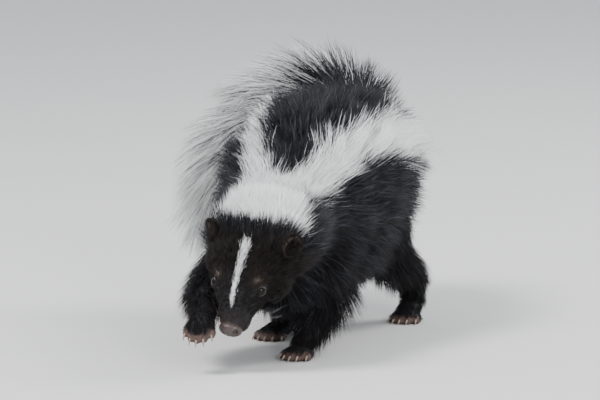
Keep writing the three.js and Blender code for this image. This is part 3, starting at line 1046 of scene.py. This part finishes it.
@dataclass
class SkinMap:
    """The skin's triangles, with their areas, parts and unwrap, to draw roots from."""

    skin: Piece

    def __post_init__(self) -> None:
        """Reads the mesh into arrays."""
        mesh = self.skin.data
        mesh.calc_loop_triangles()
        self.corners = read(mesh.loop_triangles, "vertices", 3, np.int32)
        loops = read(mesh.loop_triangles, "loops", 3, np.int32)
        self.uvs = read(mesh.uv_layers.active.data, "uv", 2, np.float32)[loops]
        self.points = own_points(self.skin)
        self.normals = read(mesh.vertex_normals, "vector", 3, np.float32)
        a, b, c = (self.points[self.corners[:, k]] for k in range(3))
        self.area = 0.5 * np.linalg.norm(np.cross(b - a, c - a), axis=1)
        middles = (a + b + c) / 3
        self.part = BODY.parts(middles, BODY.settle(middles))
        ears = self.corners[:, 0] >= self.skin["ears_from"]
        self.part[ears] = Part.EAR
        self.area *= self.cover(middles)

    def cover(self, middles: Array) -> Array:
        """How thickly hair grows at each place: none on toe ends, nose and eyes."""
        cover = 1 - bareness(middles)
        local = HEAD.local(middles)
        head = self.part == Part.HEAD
        cover *= np.where(head, ramp(1.5, 3.5, local[:, 1]), 1)
        for hand in BOTH_SIDES:
            reach = np.linalg.norm(local - mirrored(EYE_AT, hand), axis=1)
            cover *= np.where(head, ramp(3.6, 4.6, reach), 1)
        return cover

    def draw(self, part: Part, count: int, random: np.random.Generator) -> Roots:
        """Draws roots evenly over a part.

        Args:
            part: The stretch of the animal.
            count: How many roots.
            random: The seeded generator.

        Returns:
            The roots, with the form that each lies on.
        """
        total = np.cumsum(self.area * (self.part == part))
        chosen = np.searchsorted(total, random.random(count) * total[-1])
        u, v = random.random(count), random.random(count)
        over = u + v > 1
        u, v = np.where(over, 1 - u, u), np.where(over, 1 - v, v)
        shares = np.column_stack([1 - u - v, u, v])[:, :, None]
        corners = self.corners[chosen]
        place = (self.points[corners] * shares).sum(1)
        out = unit((self.normals[corners] * shares).sum(1))
        patch = (self.uvs[chosen] * shares).sum(1)
        return Roots(place, out, patch, BODY.settle(place), self.part[chosen])


@dataclass
class Lay:
    """How hairs lie: their direction, length, angle off the skin, width, droop and brownness."""

    lie: Array
    length: Array | float
    stand: Array | float
    wide: Array | float
    droop: Array | float
    brown: Array | float

    def __post_init__(self) -> None:
        """Gives each hair its own value where one number stands for all."""
        for name in ("length", "stand", "wide", "droop", "brown"):
            setattr(self, name, np.full(len(self.lie), getattr(self, name), float))


def waves(points: Array, size: float, seed: float) -> Array:
    """A slow, smooth, repeatable wander between -1 and 1 over the body."""
    x, y, z = (points / size).T
    first = np.sin(x * 1.7 + y * 0.9 + seed)
    second = np.sin(y * 1.3 - z * 1.9 + 2.1 * seed)
    return (first + second + np.sin(z * 1.1 + x * 0.7)) / 3


HEAD_LENGTH = Curve((0, 8, 17, 27, 40, 54, 60, 70), (1.5, 2.4, 3.8, 5.4, 8, 11, 14, 20))
HEAD_STAND = Curve((0, 17, 40, 60, 70), (24, 27, 31, 40, 46))
HEAD_WIDE = Curve((0, 17, 40, 66), (0.24, 0.28, 0.34, 0.42))
TAIL_LENGTH = Curve((0, 0.2, 0.5, 0.8, 1), (44, 60, 69, 56, 40))
TAIL_STAND = Curve((0, 0.4, 0.7, 1), (48, 50, 42, 26))
LEG_LENGTH = Curve((0, 0.4, 0.7, 0.9), (34, 31, 21, 11))
LEG_STAND = Curve((0, 0.7, 1), (36, 34, 24))
FORELEG_SCALE = 0.98
HINDLEG_SCALE = 0.74
HINDLEGS_FROM = 60


@dataclass(frozen=True)
class LongCoat:
    """The long coat's lengths in millimetres, and its angles off the skin in degrees."""

    length: float = 45
    rump_longer: float = 14
    stripe_longer: float = 5
    front_shorter: float = 12
    belly_length: float = 42
    stand: float = 42
    rump_stand: float = 22
    stripe_stand: float = 4
    belly_stand: float = 22
    wide: float = 0.5


LONG_COAT = LongCoat()


def head_lay(roots: Roots) -> Lay:
    """Short fur that runs back from the nose and lengthens over the crown and the cheeks."""
    side, back, rise = HEAD.local(roots.place).T
    cheek = ramp(26, 48, back) * (1 - ramp(-2, 14, rise))
    beside_ear = ramp(46, 54, back) * (1 - ramp(66, 72, back)) * ramp(14, 20, np.abs(side))
    length = HEAD_LENGTH(back) * (1 + 0.9 * cheek + 0.35 * beside_ear)
    stand = np.radians(HEAD_STAND(back) + 8 * cheek + 6 * beside_ear)
    lie = HEAD.axes[1] + HEAD.axes[0] * (0.010 * side * ramp(10, 40, back))[:, None]
    lie = lie - HEAD.axes[2] * (0.35 * cheek)[:, None]
    return Lay(lie, length, stand, HEAD_WIDE(back), 0.03, 0.9 - 0.7 * ramp(52, 66, back))


def trunk_lay(roots: Roots) -> Lay:
    """The long coat: back along the body, on end over the rump, and outward on the stripes."""
    y, angle = roots.place[:, 1], roots.found["angle"]
    topness, sideness = np.sin(angle), np.cos(angle)
    aside = np.abs(sideness)
    rear = ramp(0, 120, y)
    front = 1 - ramp(-30, 50, y)
    upper = ramp(-0.1, 0.75, topness)
    under = ramp(0.3, 0.9, -topness)
    lie = roots.found["along"] - UP * (0.45 * (1 - rear) * (1 - np.abs(topness)))[:, None]
    flare = upper * rear * ramp(0.2, 0.7, aside)
    lie = lie + LEFT * (0.4 * flare * np.sign(sideness))[:, None]
    right = ramp(0.3, 0.8, -sideness) * rear
    raised = np.maximum(upper, right) * rear
    stripe = ramp(0.3, 0.5, aside) * (1 - ramp(0.9, 1.0, aside)) * upper * rear
    coat = LONG_COAT
    length = coat.length + coat.rump_longer * raised + coat.stripe_longer * stripe
    length = length - coat.front_shorter * front
    length = length * (1 - under) + coat.belly_length * under
    stand = coat.stand + coat.rump_stand * raised + coat.stripe_stand * stripe
    stand = stand + coat.belly_stand * under
    droop = 0.05 + 0.12 * (1 - upper) * (1 - under)
    return Lay(lie, length, np.radians(stand), coat.wide, droop, 0.15)


def tail_lay(roots: Roots) -> Lay:
    """The plume: long hair out all round, flatter at the root's outer bend and at the tip."""
    share = roots.found["share"]
    outer = ramp(0.2, 0.9, roots.out[:, 1]) * (1 - ramp(0.4, 0.6, share))
    stand = np.radians(TAIL_STAND(share)) * (1 - 0.6 * outer)
    return Lay(roots.found["along"], TAIL_LENGTH(share), stand, 0.5, 0.06 + 0.12 * share, 0.1)


def leg_lay(roots: Roots) -> Lay:
    """Hair that runs down the leg and shortens to the wrist."""
    share = roots.found["share"]
    scale = np.where(roots.place[:, 1] < HINDLEGS_FROM, FORELEG_SCALE, HINDLEG_SCALE)
    lie = roots.found["along"] + BACK * 0.3 - UP * 0.5
    return Lay(lie, LEG_LENGTH(share) * scale, np.radians(LEG_STAND(share)), 0.42, 0.16, 0.4)


def paw_lay(roots: Roots) -> Lay:
    """Very short hair over the paw, to the toes."""
    y, z = roots.place[:, 1], roots.place[:, 2]
    high = ramp(4, 20, z - 26 * (y < -40))
    lie = -BACK - UP * 0.5 - UP * (1.2 * high)[:, None]
    return Lay(lie, 4 + 6 * high, math.radians(22), 0.34, 0, 0.8)


def ear_lay(roots: Roots) -> Lay:
    """A nap over the ear, up to its rim."""
    lie = unit(HEAD.axes[2] * 0.6 + HEAD.axes[1] * 0.5)
    return Lay(np.tile(lie, (len(roots.place), 1)), 4.6, math.radians(34), 0.26, 0, 1.0)


@dataclass
class Growth:
    """One stretch of the coat."""

    name: str
    part: Part
    lay: Callable[[Roots], Lay]
    count: int
    rings: int
    clump: int
    gather: float
    slot: str
    nodes: tuple[str, ...]
    splits: tuple[int, ...]
    seed: int


SIDE_WORDS = {0: ("right", "left"), 1: ("front", "rear")}
GROWTHS = (
    Growth("coat_head", Part.HEAD, head_lay, 30000, 2, 7, 0.45, "black_coat", ("head",), (0,), 21),
    Growth("coat_neck", Part.NECK, trunk_lay, 11800, 3, 13, 0.6, "white_coat", ("neck",), (), 22),
    Growth("coat_torso", Part.TORSO, trunk_lay, 38000, 3, 18, 0.66, "black_coat", ("torso",), (1, 0), 23),
    Growth("coat_tail", Part.TAIL, tail_lay, 9000, 3, 13, 0.6, "white_coat", TAIL, (), 24),
    Growth("coat_legs", Part.LEG, leg_lay, 14000, 2, 9, 0.5, "black_coat", tuple(LEGS), (), 25),
    Growth("coat_paws", Part.PAW, paw_lay, 8500, 2, 5, 0.2, "paw_skin", tuple(PAWS), (), 26),
    Growth("coat_ears", Part.EAR, ear_lay, 4000, 2, 5, 0.2, "black_coat", EARS, (), 27),
)


def gather(
    paths: Array, place: Array, size: int, strength: float, random: np.random.Generator
) -> Array:
    """Draws the tips of neighbouring hairs together.

    Args:
        paths: The hairs' points, one row of points for each.
        place: Their roots.
        size: About how many hairs share a tip.
        strength: How far each goes over to its tuft.
        random: The seeded generator.

    Returns:
        The moved paths.
    """
    leaders = random.choice(len(place), max(1, len(place) // size), replace=False)
    tree = KDTree(len(leaders))
    for number, leader in enumerate(leaders):
        tree.insert(place[leader], number)
    tree.balance()
    owner = leaders[np.array([tree.find(point)[1] for point in place])]
    along = np.linspace(0, 1, paths.shape[1])[None, :, None]
    offset = (place - place[owner])[:, None, :]
    target = paths[owner] + offset * (1 - 0.9 * along)
    pull = strength * along**0.8
    return paths * (1 - pull) + target * pull


TAPER = Curve((0, 0.35, 1), (0.75, 1.0, 0.25))


@dataclass
class Coat:
    """The coat, grown from the skin as solid tapered hairs in tufts."""

    skin: SkinMap
    material: bpy.types.Material
    sunk: float = 0.7
    patch: float = 0.003
    guard_share: float = 0.06
    guard_longer: float = 1.16
    wander: float = 0.28
    scatter: float = 0.22
    length_wave: float = 0.12
    length_range: tuple[float, float] = (0.72, 1.16)
    stand_wave: float = 0.2
    stand_range: tuple[float, float] = (0.7, 1.36)
    sway: float = 0.16
    curl: float = 0.26
    flatness: float = 0.6
    lowest: float = 0.3
    # Share of dark hairs that get a painted bluish highlight (painted glint).
    painted_glint_share: float = 0.2

    def paths(
        self, roots: Roots, lay: Lay, rings: int, random: np.random.Generator
    ) -> tuple[Array, Array]:
        """The hairs' lines.

        Args:
            roots: Where they grow.
            lay: How they lie.
            rings: The number of points before the tip.
            random: The seeded generator.

        Returns:
            The points of each hair, and the direction across it.
        """
        count = len(roots.place)
        out = roots.out
        lie = lay.lie - out * (lay.lie * out).sum(1, keepdims=True)
        flat = unit(lie)
        across = unit(np.cross(out, flat))
        turn = self.wander * waves(roots.place, 17, 1.3) + self.scatter * random.standard_normal(count)
        flat = unit(flat + across * turn[:, None])
        across = unit(np.cross(out, flat))
        length = lay.length * (1 + self.length_wave * waves(roots.place, 9, 0.4))
        length = length * random.uniform(*self.length_range, count)
        length = length * np.where(random.random(count) < self.guard_share, self.guard_longer, 1.0)
        stand = lay.stand * (1 + self.stand_wave * waves(roots.place, 12, 2.2))
        stand = stand * random.uniform(*self.stand_range, count)
        s = np.linspace(0, 1, rings + 1)[None, :, None]
        length, stand = length[:, None, None], stand[:, None, None]
        sway = (self.sway * random.standard_normal(count))[:, None, None]
        line = roots.place[:, None] - out[:, None] * np.minimum(self.sunk, 0.1 * length)
        line = line + flat[:, None] * length * np.cos(stand) * s
        line = line + out[:, None] * length * np.sin(stand) * (s - self.curl * s**2)
        line = line + across[:, None] * length * sway * s**2
        line = line - UP * (lay.droop[:, None, None] * length * s**2)
        return line, across

    def shades(self, roots: Roots, lay: Lay, rings: int, random: np.random.Generator) -> Array:
        """A colour for each ring of each hair, with painted glints, painted shade at the roots and
        painted sheen at the tips.
        """
        count = len(roots.place)
        jitter = roots.place + random.standard_normal((count, 3)) * 0.8
        white = MARKINGS.of(jitter, roots.part, roots.found)
        is_white = (random.random(count) < white)[:, None]
        dark = BLACK + (BROWN_BLACK - BLACK) * np.clip(lay.brown, 0, 1)[:, None]
        # Painted glints: a share of the dark hairs is lifted by a bluish painted highlight, fewer where
        # the coat is brown.
        painted_glint = (random.random((count, 1)) < self.painted_glint_share) * random.uniform(0.01, 0.07, (count, 1))
        painted_glint = painted_glint * (1 - lay.brown)[:, None]
        local = HEAD.local(roots.place)
        beside_eye = np.zeros(count)
        for hand in BOTH_SIDES:
            eye_gap = np.linalg.norm(local - mirrored(EYE_PATCH_AT, hand), axis=1)
            spot_gap = np.linalg.norm(local - mirrored(PALE_SPOT_AT, hand), axis=1)
            beside_eye += fade(eye_gap, 6)
            dark = dark + PALE_SPOT * fade(spot_gap, 1.6)[:, None]
        muzzle = (roots.part == Part.HEAD) * (1 - ramp(4, 14, local[:, 1]))
        dark = dark + BROWN * np.clip(beside_eye + 1.4 * muzzle, 0, 1.6)[:, None]
        # Random tone for each dark hair, plus its painted glint.
        dark = dark * random.uniform(0.5, 1.8, (count, 1)) + painted_glint * PAINTED_GLINT_TINT
        pale = WHITE * random.uniform(0.8, 1.05, (count, 1))
        s = np.linspace(0, 1, rings + 1)[None, :, None]
        # White hairs turn cream at the roots: partly the hair's own cream tint, partly painted shade at
        # the roots.
        cream_and_root_shade = (CREAM - WHITE) * np.clip(0.5 - 1.3 * s, 0, 1) * 0.5
        # Dark hairs get painted shade at the roots and a painted sheen towards the tips.
        return np.where(is_white[:, None], pale[:, None] + cream_and_root_shade, dark[:, None] * (0.8 + 0.7 * s))

    def mesh(
        self,
        name: str,
        line: Array,
        across: Array,
        wide: Array,
        colour: Array,
        patch: Array,
    ) -> Piece:
        """Turns lines into solid three-sided hairs that taper to a point.

        Args:
            name: The piece's name.
            line: The points of each hair.
            across: The direction across each hair.
            wide: The width of each hair.
            colour: A colour for each point of each hair.
            patch: Each hair's place on the skin's unwrap.

        Returns:
            The piece.
        """
        count, points = line.shape[:2]
        rings = points - 1
        run = unit(np.gradient(line, axis=1))
        thick = unit(np.cross(run, across[:, None]))
        side = unit(np.cross(thick, run))
        share = np.linspace(0, 1, points)[:rings]
        taper = TAPER(share)[None, :, None, None]
        angles = np.radians([90, 210, 330])[None, None, :, None]
        radius = (wide / 2)[:, None, None, None] * taper
        sideways = np.cos(angles) * side[:, :rings, None]
        upright = self.flatness * np.sin(angles) * thick[:, :rings, None]
        ring = line[:, :rings, None] + radius * (sideways + upright)
        each = rings * 3 + 1
        verts = np.concatenate([ring.reshape(count, -1, 3), line[:, -1:]], axis=1)
        verts[..., 2] = np.maximum(verts[..., 2], self.lowest)
        shades = np.concatenate([np.repeat(colour[:, :rings], 3, axis=1), colour[:, -1:]], axis=1)
        faces = [(2, 1, 0)]
        for r in range(rings - 1):
            for i in range(3):
                j = (i + 1) % 3
                a, b = r * 3 + i, r * 3 + j
                faces += [(a, b, b + 3), (a, b + 3, a + 3)]
        top = (rings - 1) * 3
        faces += [(top + i, top + (i + 1) % 3, top + 3) for i in range(3)]
        pattern = np.array(faces)
        index = (pattern[None] + (np.arange(count) * each)[:, None, None]).reshape(-1)
        corner = np.array([[(k % 3) / 2, (k // 3) / rings] for k in range(each)]) * self.patch
        spots = (patch[:, None] * (1 - self.patch) + corner[None]).reshape(-1, 2)
        mesh = bpy.data.meshes.new(name)
        mesh.vertices.add(count * each)
        mesh.vertices.foreach_set("co", to_row(verts.reshape(-1, 3)).astype(np.float32).ravel())
        mesh.loops.add(len(index))
        mesh.loops.foreach_set("vertex_index", index.astype(np.int32))
        mesh.polygons.add(len(index) // 3)
        mesh.polygons.foreach_set("loop_start", np.arange(0, len(index), 3, dtype=np.int32))
        mesh.update(calc_edges=True)
        layer = mesh.uv_layers.new(name="OFBake")
        layer.data.foreach_set("uv", spots[index].astype(np.float32).ravel())
        paint_points(mesh, shades.reshape(-1, 3))
        mesh.shade_smooth()
        return add_object(name, mesh)

    def grow(self, growth: Growth) -> None:
        """Grows one stretch of the coat, in as many pieces as it needs."""
        random = np.random.default_rng(growth.seed)
        roots = self.skin.draw(growth.part, growth.count, random)
        lay = growth.lay(roots)
        line, across = self.paths(roots, lay, growth.rings, random)
        line = gather(line, roots.place, growth.clump * 6, growth.gather * 0.4, random)
        line = gather(line, roots.place, growth.clump, growth.gather, random)
        colour = self.shades(roots, lay, growth.rings, random)
        wide = lay.wide * random.uniform(0.7, 1.3, len(lay.wide))
        groups = {"": np.arange(len(roots.place))}
        for axis in growth.splits:
            finer = {}
            for label, group in groups.items():
                order = group[np.argsort(roots.place[group, axis])]
                for word, half in zip(SIDE_WORDS[axis], np.array_split(order, 2)):
                    finer[label + "_" + word] = half
            groups = finer
        for label, group in groups.items():
            hairs = (values[group] for values in (line, across, wide, colour, roots.patch))
            dress(self.mesh(growth.name + label, *hairs), self.material, growth.nodes)


@dataclass
class Whiskers:
    """Fine pale whiskers on the muzzle."""

    each: int = 10
    length: tuple[float, float] = (13, 27)
    wide: float = 0.15
    points: int = 7
    pale: float = 0.35

    def build(self, coat: Coat) -> None:
        """Grows the whiskers of both sides as one piece."""
        random = np.random.default_rng(5)
        lines, sides = [], []
        s = np.linspace(0, 1, self.points)[:, None]
        for hand in BOTH_SIDES:
            for _ in range(self.each):
                back = random.uniform(7, 15)
                root = np.array([hand * (7.5 + 0.35 * back), back, random.uniform(-6, -1.5)])
                outward, backward = hand * random.uniform(0.7, 1.1), random.uniform(0.1, 0.9)
                way = unit(np.array([outward, backward, random.uniform(-0.5, 0.2)]))
                reach = random.uniform(*self.length)
                bend = np.array([0, 0.25, -0.3]) * reach * s**2
                lines.append(HEAD.place(root + way * reach * s + bend))
                sides.append(HEAD.axes[2])
        line = np.array(lines)
        count = len(line)
        colour = np.full((count, self.points, 3), self.pale)
        patch = np.column_stack([np.linspace(0.1, 0.9, count), np.full(count, 0.5)])
        piece = coat.mesh("whiskers", line, np.array(sides), np.full(count, self.wide), colour, patch)
        dress(piece, coat.material)


LIT_POINT = Vector((0, 0, 0.09))
LAMPS = (
    ("key", (-0.7, -1.0, 1.9), 0.7, 56),
    ("fill", (1.3, -1.25, 0.75), 0.6, 18),
    ("rim", (1.2, 1.2, 1.4), 1.0, 34),
)
SKY_COLOUR = (0.86, 0.92, 1.0)
SKY_STRENGTH = 0.9


@dataclass
class Stage:
    """A plain pale floor, soft light, and the camera at the photo's angle."""

    azimuth: float = 24
    elevation: float = 8
    distance: float = 3200
    lens: float = 279.6
    sensor: float = 36
    toe: Triple = (22, 0, 0)
    target_right: float = 4.8
    target_up: float = 111.3

    def aim(self, thing: Piece, place: Vector, way: Vector) -> None:
        """Sets a camera or a lamp in its place, looking along a direction."""
        thing.location = place
        thing.rotation_mode = "QUATERNION"
        thing.rotation_quaternion = way.to_track_quat("-Z", "Y")

    def floor(self) -> None:
        """The floor, a little below the soles."""
        deselect()
        bpy.ops.mesh.primitive_plane_add(size=16, location=(0, 0, -0.0002))
        floor = bpy.context.active_object
        floor.name = "floor"
        floor.data.materials.append(FLOOR_FINISH.material())

    def camera(self) -> None:
        """The camera."""
        azimuth, elevation = math.radians(self.azimuth), math.radians(self.elevation)
        level = Vector((math.sin(azimuth), -math.cos(azimuth), 0)) * math.cos(elevation)
        back = level + Vector((0, 0, math.sin(elevation)))
        right = Vector((math.cos(azimuth), math.sin(azimuth), 0))
        up = back.cross(right)
        target = Vector(to_row(self.toe)) + (right * self.target_right + up * self.target_up) * MM
        data = bpy.data.cameras.new("camera")
        data.lens = self.lens
        data.sensor_width = self.sensor
        data.clip_start, data.clip_end = 0.05, 40
        camera = add_object("camera", data)
        self.aim(camera, target + back * self.distance * MM, -back)
        bpy.context.scene.camera = camera

    def light(self, name: str, place: Triple, size: float, power: float) -> None:
        """One soft lamp that looks at the animal."""
        data = bpy.data.lights.new(name, "AREA")
        data.size = size
        data.energy = power
        self.aim(add_object(name, data), Vector(place), LIT_POINT - Vector(place))

    def build(self) -> None:
        """Sets the whole stage."""
        self.floor()
        self.camera()
        for name, place, size, power in LAMPS:
            self.light(name, place, size, power)
        world = bpy.data.worlds.new("sky")
        world.use_nodes = True
        shade = world.node_tree.nodes["Background"]
        shade.inputs["Color"].default_value = (*SKY_COLOUR, 1)
        shade.inputs["Strength"].default_value = SKY_STRENGTH
        bpy.context.scene.world = world


def main() -> None:
    """Builds the skunk in order, then its stage."""
    logging.basicConfig(level=logging.INFO, format="%(message)s")
    lid_skin = LID_FINISH.material()
    skin = Skin().build()
    for hand in BOTH_SIDES:
        Eye(hand, lid_skin).build()
    Nose().build()
    build_claws()
    coat = Coat(SkinMap(skin), FUR_FINISH.material())
    for growth in GROWTHS:
        coat.grow(growth)
    Whiskers().build(coat)
    Stage().build()


if __name__ == "__main__":
    main()
